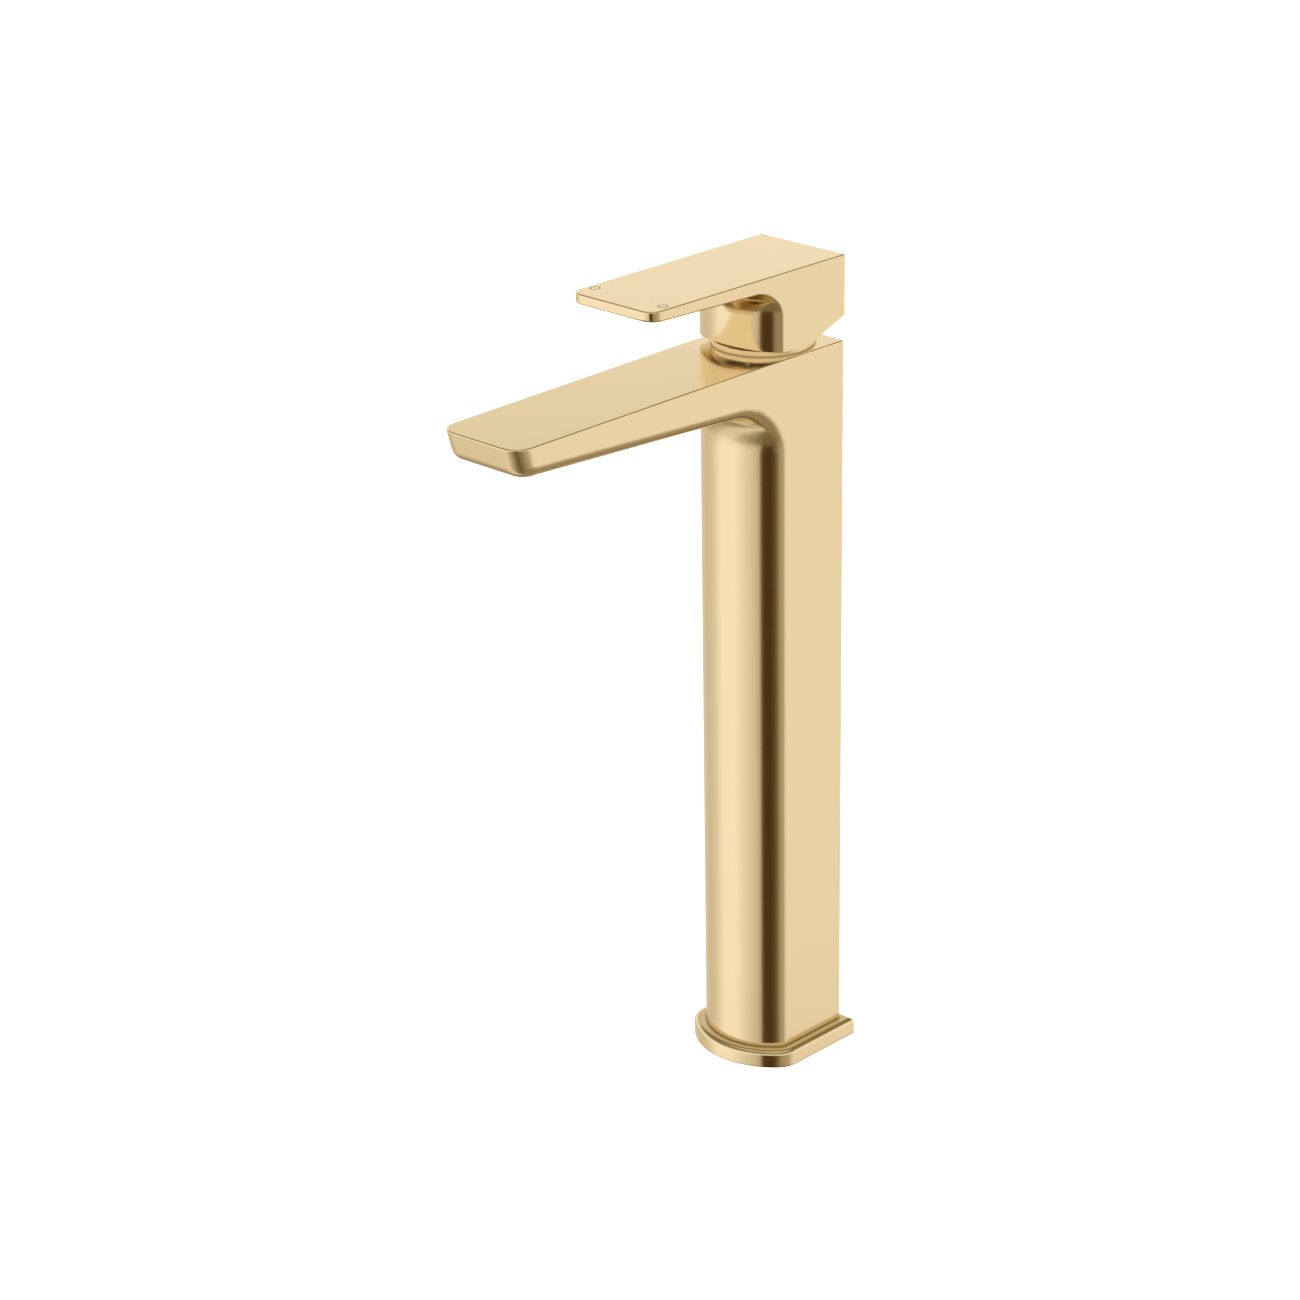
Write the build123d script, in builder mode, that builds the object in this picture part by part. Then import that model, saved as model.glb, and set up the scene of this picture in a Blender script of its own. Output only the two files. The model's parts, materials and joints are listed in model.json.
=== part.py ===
"""Tall single-lever basin mixer: body with a flat spout, lever, ceramic cartridge, waterways.

Millimetres. The origin is on the deck surface, on the cartridge axis. +Z is up and the spout
runs towards -Y. Hot is at -X and cold at +X.
"""
import os
from math import sqrt

from build123d import *

os.makedirs("parts", exist_ok=True)

# ---------------------------------------------------------------- driving dimensions
# Body and spout
body_half = 20.0            # half the width of column and spout
body_back = 20.6            # flat back of the column
column_front = -20.9        # foremost point of the column's bowed front
column_bow = 25.0           # radius of the bowed front
body_top = 273.95
spout_tip = -137.4
spout_tip_half = 18.9       # the spout narrows to this half width at its tip
spout_tip_top = 272.55       # and its top falls to this height
spout_tip_rake = 3.2        # how far the end face leans back at its foot
spout_tip_under = 261.6     # underside height at the end face
spout_fall = 0.0467         # rise of the underside per millimetre towards the tip
spout_corner = 7.0
under_fillet = 16.0         # big hollow curve from underside into the column
body_edge = 5.0             # full lower edges of spout and front edges of the column
body_corner = 1.2           # back corners of the column
body_crisp = 0.5            # small rounding of all the other body edges
wall = 2.2
slope_start = -21.5         # the top is level behind this line and falls to the tip before it
spout_hollow_end = -109.0
spout_hollow_start = -26.0  # full width of the spout's hollow starts here

# Base plate
plate_height = 6.3
plate_half = 24.3
plate_back = 23.8
plate_front = -25.0
plate_bow = 30.0
plate_corner = 9.0
plate_rim = 1.8
plate_back_corner = 0.6
plate_skirt = 2.5           # width of the plate's solid rim round the gasket
gasket_height = 1.6

# Lever
lever_top = 305.0
lever_back = 21.1
lever_tip = -74.85
lever_back_half = 20.0
lever_tip_half = 19.47
lever_tip_under = 301.3
lever_under_rise = 0.028    # rise of the plate's underside per millimetre towards the tip
lever_corner = 5.0
lever_back_corner = 1.0
lever_fillet = 10.0
lever_lower_edge = 0.8      # rounding of the plate's lower edges
hub_bottom = 276.8
hub_front_lift = 1.6        # the hub's front lower edge rises by this much
hub_heel_start = 3.3        # the heel chamfer starts here and rises to the back
hub_heel_top = 283.35
lever_crisp = 0.5
hub_roof = 284.5            # ceiling of the wide part of the hub's cavity
hub_well_top = 299.0        # ceiling of the annular well round the stem's boss
boss_radius = 7.0
set_screw_z = 291.0
set_screw_radius = 2.45
set_screw_length = 7.0
plug_radius = 2.95
plug_length = 2.2
hex_key = 1.4               # half the hexagon's width across corners
mark_x = 16.0
mark_y = -66.1
mark_outer = 1.9
mark_inner = 1.5
mark_depth = 0.25

# Cartridge and motion
pivot_z = 269.0             # lever pivot pin
foot_z = 258.5              # ball at the foot of the spindle
disc_rest = 1.83            # moving disc's offset at rest, half its travel
running = 0.05              # radial clearance of a running fit
apart = 0.3                 # clearance between pieces that move past each other
seat_radius = 12.6
cartridge_radius = 12.5
cartridge_foot = 244.0
cartridge_shoulder = 268.0
neck_radius = 9.8
neck_bore = 8.3
neck_top = 277.4
chamber_radius = 10.6
chamber_top = 263.5
nut_radius = 15.0
nut_top = 273.6
ring_radius = 18.3
ring_top = 276.25
ring_spigot = 17.0          # the ring's lower spigot centres it in the body
hub_mouth = 18.65

# Foot and supplies
inlet_x = 6.2
inlet_y = -3.4
inlet_tap = 4.5             # M10 x 1
stud_y = 8.5
stud_tap = 3.4              # M8
foot_radius = 15.5
insert_top = 24.0
screw_x = 10.8
screw_y = 6.0
tube_outer = 4.0
tube_inner = 3.2
seal_section = 0.55
seal_groove = tube_outer + 2 * seal_section + 0.1
manifold_bottom = 226.0
column_hollow_top = 225.0
lug_x = 13.0                # the foot screws bite into two lugs in the column
lug_width = 11.0
lug_depth = 8.0
lug_height = 10.0
screw_bore = 1.6
screw_head = 2.6
screw_shank = 1.45
screw_seat = 4.0            # height of the seat under the screw heads
screw_head_height = 3.0
screw_length = 28.0
foot_seal_z = 21.0
inlet_depth = 12.0
stud_depth = 17.0
outlet_z = 235.0
outlet_radius = 3.0

# Spout waterway and aerator
aerator_y = -121.0
aerator_bore = 9.9
aerator_radius = 9.8
aerator_inner = 8.2
aerator_chamber_top = 270.9
waterway_half = 8.0
riser_front = -17.8
riser_back = -13.8
riser_pocket_half = 6.4
riser_pocket_top = 266.6
passage_floor = 267.7       # slot from the spout's hollow into the aerator chamber
passage_back = -108.0
passage_front = -116.0


def spout_under(y):
    """Height of the spout's underside at y."""
    foot_y = spout_tip + spout_tip_rake
    return spout_tip_under + (foot_y - y) * spout_fall


def body_roof(y):
    """Height of the body's top surface at y."""
    share = max(0.0, (slope_start - y) / (slope_start - spout_tip))
    return body_top - share * (body_top - spout_tip_top)


def lever_under(y):
    """Height of the lever plate's underside at y."""
    return lever_tip_under - (y - lever_tip) * lever_under_rise


def shoulder_of(half, front, bow):
    """Where the bowed front meets the flat sides."""
    return front + bow - sqrt(bow**2 - half**2)


def bowed_outline(half, back, front, bow, corner=0.0):
    """Flat back and sides with a bowed front, the plan shape of column, plate and hub."""
    shoulder = shoulder_of(half, front, bow)
    with BuildSketch() as outline:
        with BuildLine():
            Polyline((half, shoulder), (half, back), (-half, back), (-half, shoulder))
            ThreePointArc((-half, shoulder), (0, front), (half, shoulder))
        make_face()
        if corner:
            fillet(outline.vertices().group_by(Axis.Y)[0], corner)
    return outline.sketch


def polygon(*points):
    """A closed outline through the points: (y, z) in the side view or (x, y) in plan."""
    with BuildSketch() as outline:
        with BuildLine():
            Polyline(*points, close=True)
        make_face()
    return outline.sketch


def o_ring(centre_radius, section, height, x=0.0, y=0.0):
    """An O-ring lying flat, its centre line at the given height."""
    with BuildPart() as seal:
        with BuildSketch(Plane.XZ):
            with Locations((centre_radius, 0)):
                Circle(section)
        revolve(axis=Axis.Z)
    return seal.part.moved(Location((x, y, height)))


# ---------------------------------------------------------------- body casting
# Column, spout and the hollow curve between them, then the bores from the top, the bottom and
# the spout's underside.
column_shoulder = shoulder_of(body_half, column_front, column_bow)
spout_foot = spout_tip + spout_tip_rake
with BuildPart() as body_casting:
    with BuildSketch(Plane.XY.offset(plate_height)):
        add(bowed_outline(body_half, body_back, column_front, column_bow))
    extrude(amount=body_top - plate_height)
    with BuildSketch(Plane.YZ):
        add(polygon((0, body_top), (slope_start, body_top), (spout_tip, spout_tip_top),
                    (spout_foot, spout_tip_under), (0, spout_under(0))))
    extrude(amount=body_half, both=True)
    junction = body_casting.edges().filter_by(GeomType.ELLIPSE).group_by(Axis.Z)[0]
    fillet(junction, under_fillet)
    # the spout narrows from the column's shoulder to its tip
    with BuildSketch(Plane.XY):
        add(polygon((body_half, body_back), (body_half, column_shoulder),
                    (spout_tip_half, spout_tip), (-spout_tip_half, spout_tip),
                    (-body_half, column_shoulder), (-body_half, body_back)))
    extrude(amount=body_top, mode=Mode.INTERSECT)
    tip_corners = body_casting.edges().filter_by(
        lambda e: e.center().Y < spout_foot and abs(e.center().X) > spout_tip_half - 0.5)
    fillet(tip_corners, spout_corner)
    # the lower edges run on round the hollow curve and down the column's front
    lower_edges = body_casting.edges().filter_by(
        lambda e: abs(e.center().X) > spout_tip_half - 0.5
        and spout_foot < e.center().Y < column_shoulder
        and e.center().Z < spout_tip_under)
    fillet(lower_edges, body_edge)
    fillet(body_casting.edges().filter_by(Axis.Z).group_by(Axis.Y)[-1], body_corner)
    top_faces = body_casting.faces().filter_by(
        lambda f: f.normal_at().Z > 0.99 and f.center().Z > spout_tip_top - 1)
    outer_top = [e for e in top_faces.edges() if abs(e.center().Y - slope_start) > 1.0
                 or abs(e.center().X) > 1.0]
    fillet(outer_top, body_crisp)
    # hollow column
    with BuildSketch(Plane.XY.offset(plate_height)):
        add(bowed_outline(body_half - wall, body_back - wall, column_front + wall,
                          column_bow - wall, 1.5))
    extrude(amount=column_hollow_top - plate_height, mode=Mode.SUBTRACT)
    # lugs that the foot screws bite into
    with BuildSketch(Plane.XY.offset(insert_top)):
        with Locations((lug_x, screw_y), (-lug_x, screw_y)):
            Rectangle(lug_width, lug_depth)
    extrude(amount=lug_height, mode=Mode.ADD)
    with BuildSketch(Plane.XY.offset(insert_top)):
        with Locations((screw_x, screw_y), (-screw_x, screw_y)):
            Circle(screw_shank + running)
    extrude(amount=lug_height - 1, mode=Mode.SUBTRACT)
    # cartridge seat, nut thread and the passage for the manifold below them
    with BuildSketch(Plane.XY.offset(column_hollow_top - 1)):
        Circle(seat_radius)
    extrude(amount=cartridge_shoulder - column_hollow_top + 1, mode=Mode.SUBTRACT)
    with BuildSketch(Plane.XY.offset(cartridge_shoulder)):
        Circle(nut_radius + running)
    extrude(amount=body_top - cartridge_shoulder + 1, mode=Mode.SUBTRACT)
    with BuildSketch(Plane.XY.offset(nut_top - 0.2)):
        Circle(ring_spigot + 0.1)
    extrude(amount=body_top - nut_top + 1, mode=Mode.SUBTRACT)
    # front pocket for the rising part of the waterway, with the manifold's outlet hole
    with BuildSketch(Plane.XY.offset(column_hollow_top - 1)):
        with Locations((0, (riser_front + riser_back) / 2)):
            Rectangle(2 * riser_pocket_half, riser_back - riser_front + 0.4)
    extrude(amount=riser_pocket_top - column_hollow_top + 1, mode=Mode.SUBTRACT)
    with BuildSketch(Plane.XZ.offset(seat_radius - 1)):
        with Locations((0, outlet_z)):
            Circle(outlet_radius + running)
    extrude(amount=2.4, mode=Mode.SUBTRACT)
    # hollow spout: a narrow channel at the column, the full width further out
    hollow_end = ((spout_hollow_end, spout_under(spout_hollow_end) + wall),
                  (spout_hollow_end, body_roof(spout_hollow_end) - wall))
    with BuildSketch(Plane.YZ):
        add(polygon((riser_back - 1, spout_under(riser_front) + 2 * wall), *hollow_end,
                    (slope_start - 3, body_top - wall), (riser_back - 1, riser_pocket_top)))
    extrude(amount=waterway_half + apart, both=True, mode=Mode.SUBTRACT)
    with BuildSketch(Plane.YZ):
        add(polygon((spout_hollow_start, spout_under(spout_hollow_start) + 2 * wall),
                    *hollow_end,
                    (spout_hollow_start, body_roof(spout_hollow_start) - wall)))
    extrude(amount=body_half - 2 * wall - 0.6, both=True, mode=Mode.SUBTRACT)
    # aerator bore from the underside
    with BuildSketch(Plane.XY.offset(spout_tip_under - 6)):
        with Locations((0, aerator_y)):
            Circle(aerator_bore)
    extrude(amount=aerator_chamber_top - spout_tip_under + 6, mode=Mode.SUBTRACT)
    with BuildSketch(Plane.YZ):
        add(polygon((passage_back, passage_floor), (passage_front, passage_floor),
                    (passage_front, aerator_chamber_top), (passage_back, aerator_chamber_top)))
    extrude(amount=waterway_half - 1, both=True, mode=Mode.SUBTRACT)
body_casting.part.label = "body_casting"
export_step(body_casting.part, "parts/body_casting.step")

# ---------------------------------------------------------------- base plate and gasket
gasket_edge = plate_skirt + 0.1
gasket_hole = foot_radius + 1.6
with BuildPart() as base_plate:
    with BuildSketch():
        add(bowed_outline(plate_half, plate_back, plate_front, plate_bow, plate_corner))
    extrude(amount=plate_height)
    fillet(base_plate.edges().filter_by(Axis.Z).group_by(Axis.Y)[-1], plate_back_corner)
    fillet(base_plate.faces().sort_by(Axis.Z)[-1].edges(), plate_rim)
    Hole(foot_radius + running)
    with BuildSketch():
        add(bowed_outline(plate_half - plate_skirt, plate_back - plate_skirt,
                          plate_front + plate_skirt, plate_bow - plate_skirt,
                          plate_corner - plate_skirt))
        Circle(gasket_hole, mode=Mode.SUBTRACT)
    extrude(amount=gasket_height, mode=Mode.SUBTRACT)
base_plate.part.label = "base_plate"
export_step(base_plate.part, "parts/base_plate.step")

with BuildPart() as base_gasket:
    with BuildSketch():
        add(bowed_outline(plate_half - gasket_edge, plate_back - gasket_edge,
                          plate_front + gasket_edge, plate_bow - gasket_edge,
                          plate_corner - gasket_edge))
        Circle(gasket_hole + 0.1, mode=Mode.SUBTRACT)
    extrude(amount=gasket_height)
base_gasket.part.label = "base_gasket"
export_step(base_gasket.part, "parts/base_gasket.step")

# ---------------------------------------------------------------- foot insert
# Brass block in the column's foot. Its round spigot passes through the base plate to the deck
# and holds both hose inlets, the stud thread and two countersunk screws.
with BuildPart() as foot_insert:
    with BuildSketch(Plane.XY.offset(plate_height)):
        add(bowed_outline(body_half - wall - running, body_back - wall - running,
                          column_front + wall + running, column_bow - wall, 1.6))
    extrude(amount=insert_top - plate_height)
    Cylinder(foot_radius, plate_height, align=(Align.CENTER, Align.CENTER, Align.MIN))
    with BuildSketch():
        with Locations((-inlet_x, inlet_y), (inlet_x, inlet_y)):
            Circle(inlet_tap)
        with Locations((0, stud_y)):
            Circle(stud_tap)
    extrude(amount=inlet_depth, mode=Mode.SUBTRACT)
    with BuildSketch(Plane.XY.offset(inlet_depth)):
        with Locations((-inlet_x, inlet_y), (inlet_x, inlet_y)):
            Circle(tube_inner)
        with Locations((0, stud_y)):
            Circle(stud_tap)
    extrude(amount=stud_depth - inlet_depth, mode=Mode.SUBTRACT)
    with BuildSketch(Plane.XY.offset(stud_depth)):
        with Locations((-inlet_x, inlet_y), (inlet_x, inlet_y)):
            Circle(tube_outer + running)
    extrude(amount=insert_top - stud_depth, mode=Mode.SUBTRACT)
    with BuildSketch(Plane.XY.offset(foot_seal_z - 1)):
        with Locations((-inlet_x, inlet_y), (inlet_x, inlet_y)):
            Circle(seal_groove)
    extrude(amount=2, mode=Mode.SUBTRACT)
    with BuildSketch():
        with Locations((screw_x, screw_y), (-screw_x, screw_y)):
            Circle(screw_bore)
    extrude(amount=insert_top, mode=Mode.SUBTRACT)
    with BuildSketch():
        with Locations((screw_x, screw_y), (-screw_x, screw_y)):
            Circle(screw_head + 0.1)
    extrude(amount=screw_seat, mode=Mode.SUBTRACT)
foot_insert.part.label = "foot_insert"
export_step(foot_insert.part, "parts/foot_insert.step")

with BuildPart() as foot_screws:
    with BuildSketch(Plane.XY.offset(screw_seat - screw_head_height)):
        with Locations((screw_x, screw_y), (-screw_x, screw_y)):
            Circle(screw_head)
    extrude(amount=screw_head_height)
    with BuildSketch(Plane.XY.offset(screw_seat)):
        with Locations((screw_x, screw_y), (-screw_x, screw_y)):
            Circle(screw_shank)
    extrude(amount=screw_length)
    with BuildSketch(Plane.XY.offset(screw_seat - screw_head_height)):
        with Locations((screw_x, screw_y), (-screw_x, screw_y)):
            RegularPolygon(hex_key, 6)
    extrude(amount=screw_head_height / 2, mode=Mode.SUBTRACT)
foot_screws.part.label = "foot_screws"
export_step(foot_screws.part, "parts/foot_screws.step")

# ---------------------------------------------------------------- supply risers
# Two copper tubes from the foot insert up to the manifold, with an O-ring at each end.
tube_bottom = 17.2
tube_top = manifold_bottom + 6.0
for side, tube_name in ((-1, "hot_riser_tube"), (1, "cold_riser_tube")):
    with BuildPart() as riser_tube:
        with BuildSketch(Plane.XY.offset(tube_bottom)):
            with Locations((side * inlet_x, inlet_y)):
                Circle(tube_outer)
                Circle(tube_inner, mode=Mode.SUBTRACT)
        extrude(amount=tube_top - tube_bottom)
    riser_tube.part.label = tube_name
    export_step(riser_tube.part, f"parts/{tube_name}.step")

with BuildPart() as riser_seals:
    for side in (-1, 1):
        for seal_z in (foot_seal_z, manifold_bottom + 3.0):
            add(o_ring(tube_outer + seal_section, seal_section, seal_z, side * inlet_x, inlet_y))
riser_seals.part.label = "riser_seals"
export_step(riser_seals.part, "parts/riser_seals.step")

# ---------------------------------------------------------------- manifold
# Round brass block under the cartridge: two inlets from below, one outlet to the front.
port_x = 4.6
port_y = -2.6
outlet_port_y = 5.0
manifold_top = 243.9
with BuildPart() as manifold:
    with BuildSketch(Plane.XY.offset(manifold_bottom)):
        Circle(cartridge_radius)
    extrude(amount=manifold_top - manifold_bottom)
    with BuildSketch(Plane.XY.offset(manifold_bottom)):
        with Locations((-inlet_x, inlet_y), (inlet_x, inlet_y)):
            Circle(tube_outer + running)
    extrude(amount=6.2, mode=Mode.SUBTRACT)
    with BuildSketch(Plane.XY.offset(manifold_bottom + 2)):
        with Locations((-inlet_x, inlet_y), (inlet_x, inlet_y)):
            Circle(seal_groove)
    extrude(amount=2, mode=Mode.SUBTRACT)
    with BuildSketch(Plane.XY.offset(manifold_bottom)):
        with Locations((-port_x - 0.6, port_y - 0.3), (port_x + 0.6, port_y - 0.3)):
            Circle(2.0)
    extrude(amount=manifold_top - manifold_bottom, mode=Mode.SUBTRACT)
    with BuildSketch(Plane.XY.offset(outlet_z - 2.8)):
        with Locations((0, outlet_port_y)):
            Circle(2.4)
    extrude(amount=manifold_top - outlet_z + 2.8, mode=Mode.SUBTRACT)
    with BuildSketch(Plane.XZ.offset(cartridge_radius - 2)):
        with Locations((0, outlet_z)):
            Circle(outlet_radius)
    extrude(amount=3.2)
    with BuildSketch(Plane.XZ.offset(-outlet_port_y)):
        with Locations((0, outlet_z)):
            Circle(outlet_radius - 1)
    extrude(amount=cartridge_radius + outlet_port_y + 2, mode=Mode.SUBTRACT)
manifold.part.label = "manifold"
export_step(manifold.part, "parts/manifold.step")

# ---------------------------------------------------------------- spout waterway
# Flat moulded tube: up the column's front, then along the spout to the aerator chamber.
riser_foot = 229.0
run_low = 260.9
waterway_rise = 0.046
run_end = spout_hollow_end + 0.2
tube_half = 6.0
tube_skin = 0.9
run_height = 5.0


def run_floor(y):
    """Height of the waterway's outer floor along the spout."""
    return run_low + (riser_back - y) * waterway_rise


with BuildPart() as spout_waterway:
    with BuildSketch(Plane.YZ):
        add(polygon((riser_front, riser_foot), (riser_back, riser_foot),
                      (riser_back, run_floor(riser_back) + run_height),
                      (run_end, run_floor(run_end) + run_height), (run_end, run_floor(run_end)),
                      (riser_front, run_floor(riser_front))))
    extrude(amount=tube_half, both=True)
    with BuildSketch(Plane.YZ):
        add(polygon((riser_front + tube_skin, riser_foot + tube_skin),
                      (riser_back - tube_skin, riser_foot + tube_skin),
                      (riser_back - tube_skin, run_floor(riser_back) + run_height - tube_skin),
                      (run_end - 1, run_floor(run_end - 1) + run_height - tube_skin),
                      (run_end - 1, run_floor(run_end - 1) + tube_skin),
                      (riser_front + tube_skin, run_floor(riser_front) + tube_skin)))
    extrude(amount=tube_half - tube_skin, both=True, mode=Mode.SUBTRACT)
    with BuildSketch(Plane.XZ.offset(-riser_back)):
        with Locations((0, outlet_z)):
            Circle(outlet_radius - 1)
    extrude(amount=1.5, mode=Mode.SUBTRACT)
spout_waterway.part.label = "spout_waterway"
export_step(spout_waterway.part, "parts/spout_waterway.step")

# ---------------------------------------------------------------- aerator
# Sleeve, rubber washer, flow former and outlet grid, all recessed in the spout's underside.
aerator_face = spout_under(aerator_y + aerator_bore) + 0.6
sleeve_top = 267.6
grid_height = 1.4
with BuildPart() as aerator_sleeve:
    with BuildSketch(Plane.XY.offset(aerator_face)):
        with Locations((0, aerator_y)):
            Circle(aerator_radius)
            Circle(aerator_inner, mode=Mode.SUBTRACT)
    extrude(amount=sleeve_top - aerator_face)
    with BuildSketch(Plane.XY.offset(aerator_face)):
        with Locations((0, aerator_y)):
            Circle(aerator_inner + 0.5)
            Circle(aerator_inner - 0.7, mode=Mode.SUBTRACT)
    extrude(amount=0.5)
    with BuildSketch(Plane.XY.offset(aerator_face)):
        with Locations((0, aerator_y)):
            with PolarLocations(aerator_radius, 4):
                Rectangle(1.6, 1.6)
    extrude(amount=0.9, mode=Mode.SUBTRACT)
aerator_sleeve.part.label = "aerator_sleeve"
export_step(aerator_sleeve.part, "parts/aerator_sleeve.step")

grid_bottom = aerator_face + 0.6
with BuildPart() as aerator_grid:
    with BuildSketch(Plane.XY.offset(grid_bottom)):
        with Locations((0, aerator_y)):
            Circle(aerator_inner - 0.1)
            with GridLocations(2.0, 2.0, 7, 7):
                Rectangle(1.35, 1.35, mode=Mode.SUBTRACT)
        with Locations((0, aerator_y)):
            Circle(aerator_inner - 0.1)
            Circle(aerator_inner - 1.0, mode=Mode.SUBTRACT)
    extrude(amount=grid_height)
aerator_grid.part.label = "aerator_grid"
export_step(aerator_grid.part, "parts/aerator_grid.step")

former_bottom = grid_bottom + grid_height
with BuildPart() as flow_former:
    with BuildSketch(Plane.XY.offset(former_bottom)):
        with Locations((0, aerator_y)):
            Circle(aerator_inner - 0.1)
    extrude(amount=sleeve_top - former_bottom - 1.0)
    with BuildSketch(Plane.XY.offset(former_bottom)):
        with Locations((0, aerator_y)):
            with PolarLocations(5.4, 12):
                Circle(0.7)
            with PolarLocations(2.8, 6):
                Circle(0.7)
    extrude(amount=sleeve_top - former_bottom, mode=Mode.SUBTRACT)
flow_former.part.label = "flow_former"
export_step(flow_former.part, "parts/flow_former.step")

with BuildPart() as aerator_washer:
    with BuildSketch(Plane.XY.offset(sleeve_top)):
        with Locations((0, aerator_y)):
            Circle(aerator_radius - 0.2)
            Circle(6.4, mode=Mode.SUBTRACT)
    extrude(amount=1.2)
aerator_washer.part.label = "aerator_washer"
export_step(aerator_washer.part, "parts/aerator_washer.step")

# ---------------------------------------------------------------- cartridge shell
with BuildPart() as cartridge_housing:
    with BuildSketch(Plane.XZ):
        with BuildLine():
            Polyline((chamber_radius, cartridge_foot + 2), (cartridge_radius, cartridge_foot + 2),
                     (cartridge_radius, cartridge_shoulder), (neck_radius, cartridge_shoulder),
                     (neck_radius, neck_top - 0.4), (neck_bore, neck_top - 0.4),
                     (neck_bore, chamber_top), (chamber_radius, chamber_top), close=True)
        make_face()
    revolve(axis=Axis.Z)
cartridge_housing.part.label = "cartridge_housing"
export_step(cartridge_housing.part, "parts/cartridge_housing.step")

fixed_disc_bottom = 248.8
fixed_disc_top = 251.8
with BuildPart() as cartridge_base:
    with BuildSketch(Plane.XY.offset(cartridge_foot)):
        Circle(cartridge_radius)
    extrude(amount=2)
    with BuildSketch(Plane.XY.offset(cartridge_foot + 2)):
        Circle(chamber_radius - running)
    extrude(amount=fixed_disc_bottom - cartridge_foot - 2)
    with BuildSketch(Plane.XY.offset(cartridge_foot)):
        with Locations((-port_x, port_y), (port_x, port_y)):
            Circle(2.2)
        with Locations((0, outlet_port_y)):
            Circle(2.4)
    extrude(amount=fixed_disc_bottom - cartridge_foot, mode=Mode.SUBTRACT)
    with BuildSketch(Plane.XY.offset(cartridge_foot)):
        with Locations((-port_x, port_y), (port_x, port_y), (0, outlet_port_y)):
            Circle(3.7)
    extrude(amount=0.8, mode=Mode.SUBTRACT)
cartridge_base.part.label = "cartridge_base"
export_step(cartridge_base.part, "parts/cartridge_base.step")

with BuildPart() as port_seals:
    with BuildSketch(Plane.XY.offset(cartridge_foot - 0.1)):
        with Locations((-port_x, port_y), (port_x, port_y), (0, outlet_port_y)):
            Circle(3.6)
        with Locations((-port_x, port_y), (port_x, port_y), (0, outlet_port_y)):
            Circle(2.5, mode=Mode.SUBTRACT)
    extrude(amount=0.8)
port_seals.part.label = "port_seals"
export_step(port_seals.part, "parts/port_seals.step")

with BuildPart() as fixed_disc:
    with BuildSketch(Plane.XY.offset(fixed_disc_bottom)):
        Circle(chamber_radius - 0.1)
        with Locations((-port_x, port_y), (port_x, port_y)):
            SlotOverall(4.6, 3.2, rotation=90, mode=Mode.SUBTRACT)
        with Locations((0, outlet_port_y)):
            Circle(2.6, mode=Mode.SUBTRACT)
    extrude(amount=fixed_disc_top - fixed_disc_bottom)
fixed_disc.part.label = "fixed_disc"
export_step(fixed_disc.part, "parts/fixed_disc.step")

# ---------------------------------------------------------------- moving disc and its carrier
moving_disc_bottom = fixed_disc_top + 0.05
moving_disc_top = moving_disc_bottom + 3.4
disc_radius = 7.2
socket_radius = 2.35 + apart
with BuildPart() as moving_disc:
    with BuildSketch(Plane.XY.offset(moving_disc_bottom)):
        with Locations((0, disc_rest)):
            Circle(disc_radius)
    extrude(amount=moving_disc_top - moving_disc_bottom)
    with BuildSketch(Plane.XY.offset(moving_disc_bottom)):
        with Locations((0, disc_rest + 1.4)):
            SlotOverall(9.0, 6.4)
    extrude(amount=1.6, mode=Mode.SUBTRACT)
moving_disc.part.label = "moving_disc"
export_step(moving_disc.part, "parts/moving_disc.step")

carrier_top = 260.2
with BuildPart() as disc_carrier:
    with BuildSketch(Plane.XY.offset(moving_disc_top)):
        with Locations((0, disc_rest)):
            Circle(disc_radius)
    extrude(amount=carrier_top - moving_disc_top)
    with BuildSketch(Plane.XY.offset(moving_disc_top + 0.5)):
        Circle(socket_radius)
    extrude(amount=carrier_top - moving_disc_top, mode=Mode.SUBTRACT)
disc_carrier.part.label = "disc_carrier"
export_step(disc_carrier.part, "parts/disc_carrier.step")

# ---------------------------------------------------------------- swivel and pivot pin
swivel_flange_bottom = 260.6
eye_half = 3.4
pin_radius = 1.5
with BuildPart() as swivel:
    with BuildSketch(Plane.XY.offset(swivel_flange_bottom)):
        Circle(chamber_radius - 0.2)
    extrude(amount=chamber_top - running - swivel_flange_bottom)
    with BuildSketch(Plane.XY.offset(chamber_top - running)):
        Circle(neck_bore - running)
    extrude(amount=neck_top - chamber_top + running)
    with BuildSketch(Plane.XY.offset(swivel_flange_bottom)):
        with Locations((0, 0.6)):
            Rectangle(2 * (eye_half + apart), 12.6)
    extrude(amount=neck_top - swivel_flange_bottom, mode=Mode.SUBTRACT)
    with BuildSketch(Plane.YZ):
        with Locations((0, pivot_z)):
            Circle(pin_radius)
    extrude(amount=neck_bore, both=True, mode=Mode.SUBTRACT)
swivel.part.label = "swivel"
export_step(swivel.part, "parts/swivel.step")

with BuildPart() as pivot_pin:
    with BuildSketch(Plane.YZ):
        with Locations((0, pivot_z)):
            Circle(pin_radius)
    extrude(amount=neck_bore - 0.6, both=True)
pivot_pin.part.label = "pivot_pin"
export_step(pivot_pin.part, "parts/pivot_pin.step")

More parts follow.
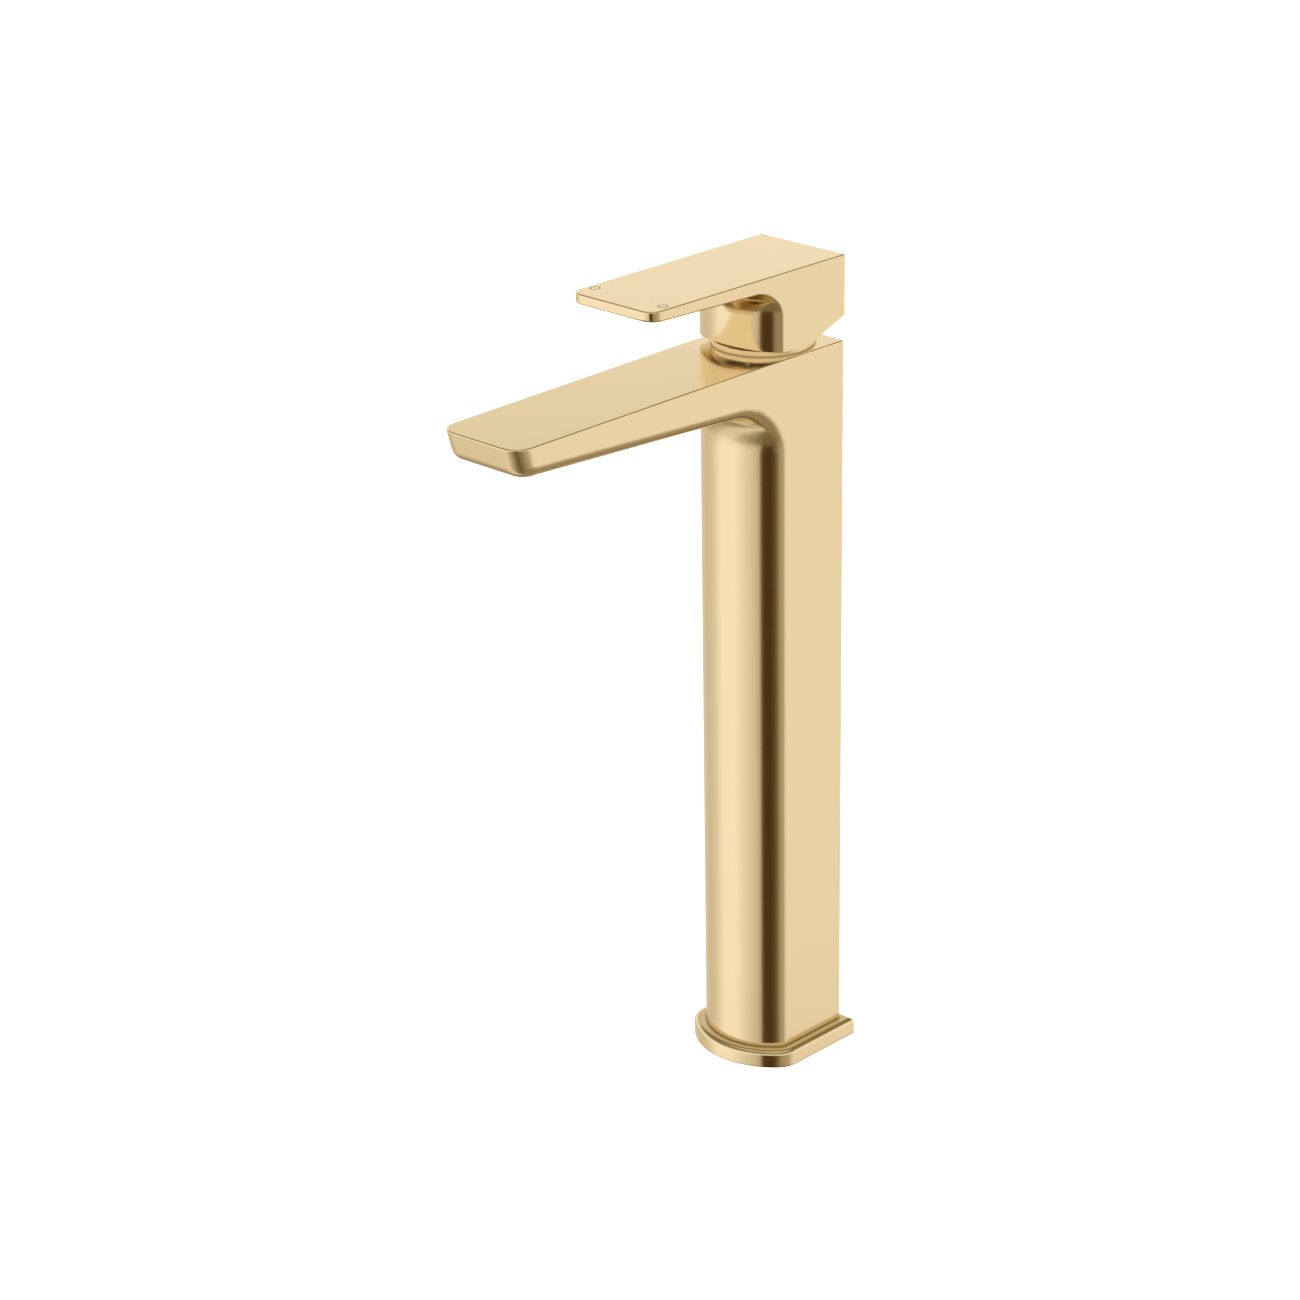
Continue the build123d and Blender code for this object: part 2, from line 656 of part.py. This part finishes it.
# ---------------------------------------------------------------- spindle
# Square stem above the pivot eye, round arm and ball below it.
stem_half = 3.4
stem_top = 297.0
ball_radius = 2.35
with BuildPart() as spindle:
    with BuildSketch(Plane.YZ):
        with Locations((0, pivot_z)):
            Circle(4.2)
    extrude(amount=eye_half, both=True)
    with BuildSketch(Plane.XY.offset(pivot_z)):
        Rectangle(2 * stem_half, 2 * stem_half)
    extrude(amount=stem_top - pivot_z)
    with BuildSketch(Plane.XY.offset(foot_z)):
        Circle(1.7)
    extrude(amount=pivot_z - foot_z)
    with Locations((0, 0, foot_z)):
        Sphere(ball_radius)
    with BuildSketch(Plane.YZ):
        with Locations((0, pivot_z)):
            Circle(pin_radius + running)
    extrude(amount=2 * eye_half, both=True, mode=Mode.SUBTRACT)
spindle.part.label = "spindle"
export_step(spindle.part, "parts/spindle.step")

# ---------------------------------------------------------------- nut, ring and ring seal
with BuildPart() as cartridge_nut:
    with BuildSketch(Plane.XY.offset(cartridge_shoulder)):
        Circle(nut_radius)
        Circle(neck_radius + 0.1, mode=Mode.SUBTRACT)
    extrude(amount=nut_top - cartridge_shoulder)
    with BuildSketch(Plane.XY.offset(nut_top - 2)):
        with PolarLocations(nut_radius, 6):
            Rectangle(4.0, 3.0)
    extrude(amount=2, mode=Mode.SUBTRACT)
cartridge_nut.part.label = "cartridge_nut"
export_step(cartridge_nut.part, "parts/cartridge_nut.step")

with BuildPart() as neck_ring:
    with BuildSketch(Plane.XY.offset(body_top)):
        Circle(ring_radius)
        Circle(neck_radius + 0.15, mode=Mode.SUBTRACT)
    extrude(amount=ring_top - body_top)
    with BuildSketch(Plane.XY.offset(nut_top)):
        Circle(ring_spigot)
        Circle(neck_radius + 0.15, mode=Mode.SUBTRACT)
    extrude(amount=body_top - nut_top)
    fillet(neck_ring.edges().filter_by(GeomType.CIRCLE).filter_by(
        lambda e: e.radius > ring_radius - 0.1 and e.center().Z > ring_top - 0.1), 0.35)
neck_ring.part.label = "neck_ring"
export_step(neck_ring.part, "parts/neck_ring.step")

# ---------------------------------------------------------------- lever handle
# Thin tapering plate over a bowed hub, one hollow curve between them, a heel cut away so that
# the lever can lift, and a deep cavity over the cartridge neck.
with BuildPart() as lever_handle:
    with BuildSketch(Plane.YZ):
        add(polygon((lever_back, lever_top), (lever_tip, lever_top),
                    (lever_tip, lever_tip_under), (lever_back, lever_under(lever_back))))
    extrude(amount=lever_back_half, both=True)
    with BuildSketch(Plane.XY.offset(hub_bottom)):
        add(bowed_outline(body_half, lever_back, column_front, column_bow))
    extrude(amount=lever_top - 4 - hub_bottom)
    with BuildSketch(Plane.XY.offset(hub_bottom - 1)):
        add(polygon((lever_back_half, lever_back), (lever_tip_half, lever_tip),
                    (-lever_tip_half, lever_tip), (-lever_back_half, lever_back)))
    extrude(amount=lever_top - hub_bottom + 2, mode=Mode.INTERSECT)
    fillet(lever_handle.edges().filter_by(GeomType.ELLIPSE), lever_fillet)
    upright_edges = lever_handle.edges().filter_by(Axis.Z).group_by(Axis.Y)
    fillet(upright_edges[0], lever_corner)
    fillet(lever_handle.edges().filter_by(Axis.Z).group_by(Axis.Y)[-1], lever_back_corner)
    # the hub's lower edge: lifted at the front, cut up towards the heel
    heel_slope = (hub_heel_top - hub_bottom) / (lever_back - hub_heel_start)
    front_y = column_front - 2
    with BuildSketch(Plane.YZ):
        with BuildLine():
            Polyline((-10.0, hub_bottom), (hub_heel_start, hub_bottom),
                     (lever_back + 2, hub_heel_top + 2 * heel_slope),
                     (lever_back + 2, hub_bottom - 2), (front_y, hub_bottom - 2),
                     (front_y, hub_bottom + hub_front_lift + 0.5))
            ThreePointArc((front_y, hub_bottom + hub_front_lift + 0.5),
                          (-16.5, hub_bottom + 0.45), (-10.0, hub_bottom))
        make_face()
    extrude(amount=lever_back_half + 1, both=True, mode=Mode.SUBTRACT)
    fillet(lever_handle.faces().sort_by(Axis.Z)[-1].edges(), lever_crisp)
    under_edges = lever_handle.edges().filter_by(
        lambda e: e.center().Y < column_front - lever_fillet
        and e.center().Z < lever_top - lever_crisp - 1 and e.center().Z > lever_tip_under - 2
        and (abs(e.center().X) > 10 or e.center().Y < lever_tip + 1)
        and abs(e.tangent_at(0.5).Z) < 0.5)
    fillet(under_edges, lever_lower_edge)
    # cavity over ring and cartridge neck, leaving a boss round the stem
    with BuildSketch(Plane.XY.offset(hub_bottom - 1)):
        Circle(hub_mouth)
        with Locations((0, hub_mouth / 2 + 1)):
            Rectangle(2 * hub_mouth - 1.2, hub_mouth - 2)
    extrude(amount=hub_roof - hub_bottom + 1, mode=Mode.SUBTRACT)
    with BuildSketch(Plane.XY.offset(hub_roof - 0.5)):
        Circle(hub_mouth - 2)
        Circle(boss_radius, mode=Mode.SUBTRACT)
    extrude(amount=hub_well_top - hub_roof + 0.5, mode=Mode.SUBTRACT)
    with BuildSketch(Plane.XY.offset(hub_roof - 0.5)):
        Rectangle(2 * (stem_half + running), 2 * (stem_half + running))
    extrude(amount=stem_top + 0.3 - hub_roof + 0.5, mode=Mode.SUBTRACT)
    # set screw hole from the back, wider at the mouth for the plug
    with BuildSketch(Plane.XZ.offset(-lever_back)):
        with Locations((0, set_screw_z)):
            Circle(plug_radius + running)
    extrude(amount=plug_length, mode=Mode.SUBTRACT)
    with BuildSketch(Plane.XZ.offset(-lever_back)):
        with Locations((0, set_screw_z)):
            Circle(set_screw_radius + running)
    extrude(amount=lever_back - stem_half, mode=Mode.SUBTRACT)
    # engraved hot and cold marks near the tip
    with BuildSketch(Plane.XY.offset(lever_top)):
        with Locations((-mark_x, mark_y), (mark_x, mark_y)):
            Circle(mark_outer)
            Circle(mark_inner, mode=Mode.SUBTRACT)
    extrude(amount=-mark_depth, mode=Mode.SUBTRACT)
lever_handle.part.label = "lever_handle"
export_step(lever_handle.part, "parts/lever_handle.step")

with BuildPart() as set_screw:
    with BuildSketch(Plane.XZ.offset(-stem_half - 0.02)):
        with Locations((0, set_screw_z)):
            Circle(set_screw_radius)
    extrude(amount=-set_screw_length)
    with BuildSketch(Plane.XZ.offset(-stem_half - set_screw_length - 0.02)):
        with Locations((0, set_screw_z)):
            RegularPolygon(hex_key, 6)
    extrude(amount=2.5, mode=Mode.SUBTRACT)
set_screw.part.label = "set_screw"
export_step(set_screw.part, "parts/set_screw.step")

with BuildPart() as screw_plug:
    with BuildSketch(Plane.XZ.offset(-lever_back - 0.1)):
        with Locations((0, set_screw_z)):
            Circle(plug_radius)
    extrude(amount=plug_length)
    fillet(screw_plug.edges().filter_by(GeomType.CIRCLE).group_by(Axis.Y)[-1], 0.3)
screw_plug.part.label = "screw_plug"
export_step(screw_plug.part, "parts/screw_plug.step")
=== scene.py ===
"""Looks of a tall single-lever basin mixer in satin brushed brass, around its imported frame."""
import json
import math

import bpy
from mathutils import Matrix, Vector


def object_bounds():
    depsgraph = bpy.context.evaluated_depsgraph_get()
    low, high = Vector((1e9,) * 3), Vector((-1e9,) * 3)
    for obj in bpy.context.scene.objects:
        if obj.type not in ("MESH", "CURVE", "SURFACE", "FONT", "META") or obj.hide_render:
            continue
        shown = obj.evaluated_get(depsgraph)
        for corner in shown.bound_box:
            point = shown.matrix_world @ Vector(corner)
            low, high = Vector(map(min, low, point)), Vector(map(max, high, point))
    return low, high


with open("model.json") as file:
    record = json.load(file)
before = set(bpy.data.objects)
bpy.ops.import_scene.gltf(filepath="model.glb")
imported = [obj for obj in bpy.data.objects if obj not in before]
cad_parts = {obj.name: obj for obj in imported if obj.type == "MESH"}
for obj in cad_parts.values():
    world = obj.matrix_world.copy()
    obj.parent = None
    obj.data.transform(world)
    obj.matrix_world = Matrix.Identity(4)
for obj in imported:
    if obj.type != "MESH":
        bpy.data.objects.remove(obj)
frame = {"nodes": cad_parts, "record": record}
nodes = frame["nodes"]
cad_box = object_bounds()

# ---------------------------------------------------------------- finishes: plain values
GOLD = (0.94, 0.81, 0.56, 1.0)
GOLD_DEEP = (0.92, 0.78, 0.52, 1.0)

# painted shade: the dark colour laid into tight seams and gaps, where shade falls
GOLD_PAINTED_SEAM_SHADE = (0.30, 0.22, 0.12, 1.0)
GRAIN_FINE = 9000.0             # scratches per metre across the grain
GRAIN_LONG = 90.0               # and along it
GOLD_ROUGHNESS = 0.15
GOLD_VARIATION = 0.08
GOLD_SEAM_REACH = 0.0018        # metres out of a gap that the painted seam shade reaches
# reach of the painted seam shade on the plain finishes
PLAIN_SEAM_REACH = 0.0015

# ---------------------------------------------------------------- studio and camera values
FLOOR_SIZE = 12.0
FLOOR_DROP = 0.0002             # keeps the floor just clear of the plate's underside
FLOOR_GLOW = 1.1
CAMERA_LENS = 99.10
CAMERA_SENSOR = 36.0
CAMERA_PLACE = (0.8142, -0.8818, 0.6504)
CAMERA_RIGHT = (0.71513, 0.69884, -0.01471)
CAMERA_UP = (-0.25573, 0.28115, 0.92496)


# ---------------------------------------------------------------- node helpers
def new_node(tree, kind, **settings):
    node = tree.nodes.new(kind)
    for name, value in settings.items():
        setattr(node, name, value)
    return node


def set_inputs(node, **values):
    for name, value in values.items():
        node.inputs[name.replace("_", " ")].default_value = value
    return node


def maths(tree, operation, first, second=None, clamp=False):
    """A Math node; first and second are sockets or numbers. Returns its output."""
    node = new_node(tree, "ShaderNodeMath", operation=operation, use_clamp=clamp)
    for index, value in enumerate((first, second)):
        if value is None:
            continue
        if isinstance(value, (int, float)):
            node.inputs[index].default_value = value
        else:
            tree.links.new(value, node.inputs[index])
    return node.outputs[0]


def blend_colours(tree, share, first, second):
    """A colour Mix node; each argument is a socket or a plain value. Returns its output."""
    node = new_node(tree, "ShaderNodeMix", data_type="RGBA")
    sockets = (node.inputs[0], node.inputs[6], node.inputs[7])
    for socket, value in zip(sockets, (share, first, second)):
        if isinstance(value, bpy.types.NodeSocket):
            tree.links.new(value, socket)
        else:
            socket.default_value = value
    return node.outputs[2]


def ramp(tree, factor, stops):
    """A colour ramp; stops are (position, value) with a grey value or a colour."""
    node = new_node(tree, "ShaderNodeValToRGB")
    elements = node.color_ramp.elements
    while len(elements) < len(stops):
        elements.new(0.5)
    for element, (position, value) in zip(elements, stops):
        element.position = position
        element.color = value if isinstance(value, tuple) else (value, value, value, 1.0)
    tree.links.new(factor, node.inputs[0])
    return node.outputs[0]


def new_group(name, inputs, outputs):
    """An empty shader node group. inputs are (name, type, default), outputs (name, type)."""
    group = bpy.data.node_groups.new(name, "ShaderNodeTree")
    for label, kind, default in inputs:
        socket = group.interface.new_socket(label, in_out="INPUT", socket_type=kind)
        socket.default_value = default
    for label, kind in outputs:
        group.interface.new_socket(label, in_out="OUTPUT", socket_type=kind)
    given = new_node(group, "NodeGroupInput").outputs
    result = new_node(group, "NodeGroupOutput").inputs
    return group, given, result


# ---------------------------------------------------------------- shared effects
def build_brushing():
    """Long fine scratches of a brushing belt: noise stretched along one direction."""
    group, given, result = new_group(
        "brushing",
        [("Stretch", "NodeSocketVector", (1.0, 1.0, 1.0)), ("Roughness", "NodeSocketFloat", 0.3),
         ("Variation", "NodeSocketFloat", 0.05)],
        [("Roughness", "NodeSocketFloat"), ("Height", "NodeSocketFloat"),
         ("Tone", "NodeSocketFloat")])
    place = new_node(group, "ShaderNodeTexCoord").outputs["Object"]
    stretched = new_node(group, "ShaderNodeVectorMath", operation="MULTIPLY")
    group.links.new(place, stretched.inputs[0])
    group.links.new(given["Stretch"], stretched.inputs[1])
    fine = set_inputs(new_node(group, "ShaderNodeTexNoise"), Scale=1.0, Detail=3.0, Roughness=0.65)
    group.links.new(stretched.outputs[0], fine.inputs["Vector"])
    broad = set_inputs(new_node(group, "ShaderNodeTexNoise"), Scale=0.16, Detail=2.0, Roughness=0.5)
    group.links.new(stretched.outputs[0], broad.inputs["Vector"])
    both = maths(group, "ADD", maths(group, "MULTIPLY", fine.outputs[0], 0.7),
                 maths(group, "MULTIPLY", broad.outputs[0], 0.3))
    swing = maths(group, "SUBTRACT", both, 0.5)
    group.links.new(maths(group, "ADD", given["Roughness"],
                          maths(group, "MULTIPLY", swing, given["Variation"])), result["Roughness"])
    group.links.new(both, result["Height"])
    group.links.new(swing, result["Tone"])
    return group


def build_seam_shade():
    """Painted shade for tight seams and gaps, taken from ambient occlusion: 0 in the open, 1 deep
    in a gap.
    """
    group, given, result = new_group(
        "seam_shade", [("Reach", "NodeSocketFloat", 0.003)], [("Shade", "NodeSocketFloat")])
    gap = new_node(group, "ShaderNodeAmbientOcclusion", samples=8)
    group.links.new(given["Reach"], gap.inputs["Distance"])
    closed = maths(group, "SUBTRACT", 0.80, gap.outputs["AO"])
    group.links.new(maths(group, "MULTIPLY", closed, 2.4, clamp=True), result["Shade"])
    return group


brushing = build_brushing()
seam_shade = build_seam_shade()


# ---------------------------------------------------------------- materials
def new_material(name):
    material = bpy.data.materials.new(name)
    material.use_nodes = True
    tree = material.node_tree
    shader = tree.nodes["Principled BSDF"]
    return material, tree, shader


def use_group(tree, group, **values):
    node = new_node(tree, "ShaderNodeGroup", node_tree=group)
    return set_inputs(node, **values)


def brushed_gold(name, along):
    """Satin brushed gold; along is the grain's direction as a letter."""
    material, tree, shader = new_material(name)
    stretch = tuple(GRAIN_LONG if axis == along else GRAIN_FINE for axis in "XYZ")
    grain = use_group(tree, brushing, Stretch=stretch, Roughness=GOLD_ROUGHNESS,
                      Variation=GOLD_VARIATION)
    tree.links.new(grain.outputs["Roughness"], shader.inputs["Roughness"])
    tone = maths(tree, "ADD", maths(tree, "MULTIPLY", grain.outputs["Tone"], 0.5), 0.5)
    # painted shade: in tight seams and gaps the base colour darkens towards the dark seam colour,
    # from ambient occlusion
    seam = use_group(tree, seam_shade, Reach=GOLD_SEAM_REACH)
    unshaded = blend_colours(tree, tone, GOLD_DEEP, GOLD)
    tree.links.new(blend_colours(tree, seam.outputs["Shade"], unshaded, GOLD_PAINTED_SEAM_SHADE),
                   shader.inputs["Base Color"])
    bump = set_inputs(new_node(tree, "ShaderNodeBump"), Strength=0.06, Distance=0.00002)
    tree.links.new(grain.outputs["Height"], bump.inputs["Height"])
    tree.links.new(bump.outputs[0], shader.inputs["Normal"])
    shader.inputs["Metallic"].default_value = 1.0
    return material


def plain_finish(name, colour, roughness, metallic, scale):
    """A machined or moulded surface with fine mottling."""
    material, tree, shader = new_material(name)
    grain = use_group(tree, brushing, Stretch=(scale, scale, scale), Roughness=roughness,
                      Variation=0.15)
    tree.links.new(grain.outputs["Roughness"], shader.inputs["Roughness"])
    darker = tuple(0.82 * c for c in colour[:3]) + (1.0,)
    # painted shade: a darker copy of the colour, laid into tight seams and gaps by ambient
    # occlusion
    painted_seam_shade = tuple(0.45 * c for c in colour[:3]) + (1.0,)
    tone = maths(tree, "ADD", grain.outputs["Tone"], 0.5, clamp=True)
    seam = use_group(tree, seam_shade, Reach=PLAIN_SEAM_REACH)
    unshaded = blend_colours(tree, tone, darker, colour)
    tree.links.new(blend_colours(tree, seam.outputs["Shade"], unshaded, painted_seam_shade),
                   shader.inputs["Base Color"])
    bump = set_inputs(new_node(tree, "ShaderNodeBump"), Strength=0.2, Distance=0.00003)
    tree.links.new(grain.outputs["Height"], bump.inputs["Height"])
    tree.links.new(bump.outputs[0], shader.inputs["Normal"])
    shader.inputs["Metallic"].default_value = metallic
    return material


finishes = {
    "gold_upright": brushed_gold("gold_brushed_upright", "Z"),
    "gold_along": brushed_gold("gold_brushed_along_spout", "Y"),
    "raw_brass": plain_finish("turned_brass", (0.70, 0.52, 0.24, 1.0), 0.32, 1.0, 2500.0),
    "copper": plain_finish("drawn_copper", (0.72, 0.38, 0.24, 1.0), 0.35, 1.0, 1500.0),
    "steel": plain_finish("stainless_steel", (0.60, 0.60, 0.60, 1.0), 0.28, 1.0, 2500.0),
    "black_rubber": plain_finish("black_rubber", (0.025, 0.025, 0.025, 1.0), 0.72, 0.0, 3000.0),
    "white_plastic": plain_finish("white_plastic", (0.80, 0.80, 0.77, 1.0), 0.42, 0.0, 1800.0),
    "grey_plastic": plain_finish("grey_plastic", (0.16, 0.165, 0.17, 1.0), 0.38, 0.0, 1800.0),
    "ceramic_disc": plain_finish("lapped_ceramic", (0.86, 0.84, 0.79, 1.0), 0.12, 0.0, 900.0),
}
slot_of = {s["node"]: s["material_slot"] for s in frame["record"]["subparts"]}
for name, node in nodes.items():
    slot = slot_of[name]
    finish = finishes.get(slot, finishes["gold_upright"])
    if name == "lever_handle":
        finish = finishes["gold_along"]
    node.data.materials.clear()
    node.data.materials.append(finish)


# ---------------------------------------------------------------- studio
def deg(angle):
    """Place on a heading ramp of an angle in degrees, 0 along +X and 90 along +Y."""
    return (angle + 180.0) / 360.0


def studio_world():
    world = bpy.data.worlds.new("studio")
    world.use_nodes = True
    bpy.context.scene.world = world
    tree = world.node_tree
    tree.nodes.clear()
    way = new_node(tree, "ShaderNodeTexCoord").outputs["Generated"]
    split = new_node(tree, "ShaderNodeSeparateXYZ")
    tree.links.new(way, split.inputs[0])
    # turn runs once round, 0 to 1, from -X through -Y, +X and +Y; 0.5 looks along +X
    heading = maths(tree, "ARCTAN2", split.outputs["Y"], split.outputs["X"])
    turn = maths(tree, "ADD", maths(tree, "DIVIDE", heading, 2 * math.pi), 0.5)
    height = maths(tree, "ADD", maths(tree, "DIVIDE", maths(tree, "ARCSINE", split.outputs["Z"]),
                                      math.pi), 0.5)
    # brightness below the horizon by heading: pale panels with one narrow dark gap
    low = ramp(tree, turn, [
        (deg(-180), 0.80), (deg(-160), 0.85), (deg(-138), 0.98), (deg(-112), 0.985),
        (deg(-98), 0.93), (deg(-76), 0.83), (deg(-66), 0.76), (deg(-64), 0.24),
        (deg(-43.5), 0.24), (deg(-42.5), 0.56), (deg(-20), 0.63), (deg(5), 0.70),
        (deg(20), 0.86), (deg(34), 0.92), (deg(100), 0.92), (deg(180), 0.80)])
    # brightness above the horizon: a broad pale panel with a dark ceiling over it
    high = ramp(tree, height, [
        (0.0, 0.95), (0.50, 0.95), (0.56, 0.965), (0.595, 0.955), (0.615, 0.85), (0.66, 0.82),
        (0.675, 0.76), (0.69, 0.46), (0.77, 0.50), (0.88, 0.76), (1.0, 0.80)])
    # brightness steeply below the horizon, seen by faces and edges that lean down
    steep = ramp(tree, turn, [
        (deg(-180), 0.60), (deg(-150), 0.86), (deg(-125), 0.86), (deg(-90), 0.62),
        (deg(-64), 0.44), (deg(-43.5), 0.44), (deg(-10), 0.56), (deg(45), 0.56),
        (deg(180), 0.60)])
    sink = ramp(tree, height, [(0.20, 1.0), (0.27, 0.85), (0.345, 0.0)])
    below = blend_colours(tree, sink, low, steep)
    level = ramp(tree, height, [(0.47, 0.0), (0.54, 1.0)])
    mixed = blend_colours(tree, level, below, high)
    # tint by brightness: the dim parts of the room are warmer
    tint = ramp(tree, mixed, [
        (0.0, (0.0, 0.0, 0.0, 1.0)), (0.285, (0.072, 0.038, 0.005, 1.0)),
        (0.55, (0.28, 0.225, 0.13, 1.0)), (0.757, (0.573, 0.50, 0.375, 1.0)),
        (0.89, (0.82, 0.745, 0.62, 1.0)), (0.96, (0.97, 0.90, 0.79, 1.0)),
        (1.0, (1.05, 1.0, 0.9, 1.0))])
    studio = new_node(tree, "ShaderNodeBackground")
    tree.links.new(tint, studio.inputs["Color"])
    plain = set_inputs(new_node(tree, "ShaderNodeBackground"), Color=(1.0, 1.0, 1.0, 1.0))
    path = new_node(tree, "ShaderNodeLightPath")
    mix = new_node(tree, "ShaderNodeMixShader")
    tree.links.new(path.outputs["Is Camera Ray"], mix.inputs[0])
    tree.links.new(studio.outputs[0], mix.inputs[1])
    tree.links.new(plain.outputs[0], mix.inputs[2])
    out = new_node(tree, "ShaderNodeOutputWorld")
    tree.links.new(mix.outputs[0], out.inputs[0])


def add_floor():
    bpy.ops.mesh.primitive_plane_add(
        size=FLOOR_SIZE, location=(0, 0, cad_box[0][2] - FLOOR_DROP))
    floor = bpy.context.object
    floor.name = "floor"
    material, tree, shader = new_material("pale_floor")
    set_inputs(shader, Base_Color=(0.93, 0.93, 0.93, 1.0), Roughness=0.8)
    glow = set_inputs(new_node(tree, "ShaderNodeEmission"), Strength=FLOOR_GLOW)
    path = new_node(tree, "ShaderNodeLightPath")
    dark = set_inputs(new_node(tree, "ShaderNodeEmission"), Strength=0.0)
    lit = new_node(tree, "ShaderNodeMixShader")
    tree.links.new(path.outputs["Is Camera Ray"], lit.inputs[0])
    tree.links.new(dark.outputs[0], lit.inputs[1])
    tree.links.new(glow.outputs[0], lit.inputs[2])
    total = new_node(tree, "ShaderNodeAddShader")
    tree.links.new(shader.outputs[0], total.inputs[0])
    tree.links.new(lit.outputs[0], total.inputs[1])
    tree.links.new(total.outputs[0], tree.nodes["Material Output"].inputs["Surface"])
    floor.data.materials.append(material)
    floor.visible_glossy = False


def add_camera():
    camera = bpy.data.cameras.new("camera")
    camera.lens = CAMERA_LENS
    camera.sensor_width = CAMERA_SENSOR
    camera.clip_end = 50.0
    holder = bpy.data.objects.new("camera", camera)
    bpy.context.scene.collection.objects.link(holder)
    right = Vector(CAMERA_RIGHT)
    up = Vector(CAMERA_UP)
    back = right.cross(up).normalized()
    up = back.cross(right).normalized()
    turn = Matrix((right.normalized(), up, back)).transposed().to_4x4()
    holder.matrix_world = Matrix.Translation(CAMERA_PLACE) @ turn
    bpy.context.scene.camera = holder


studio_world()
add_floor()
add_camera()
bpy.context.scene.view_settings.view_transform = "Standard"
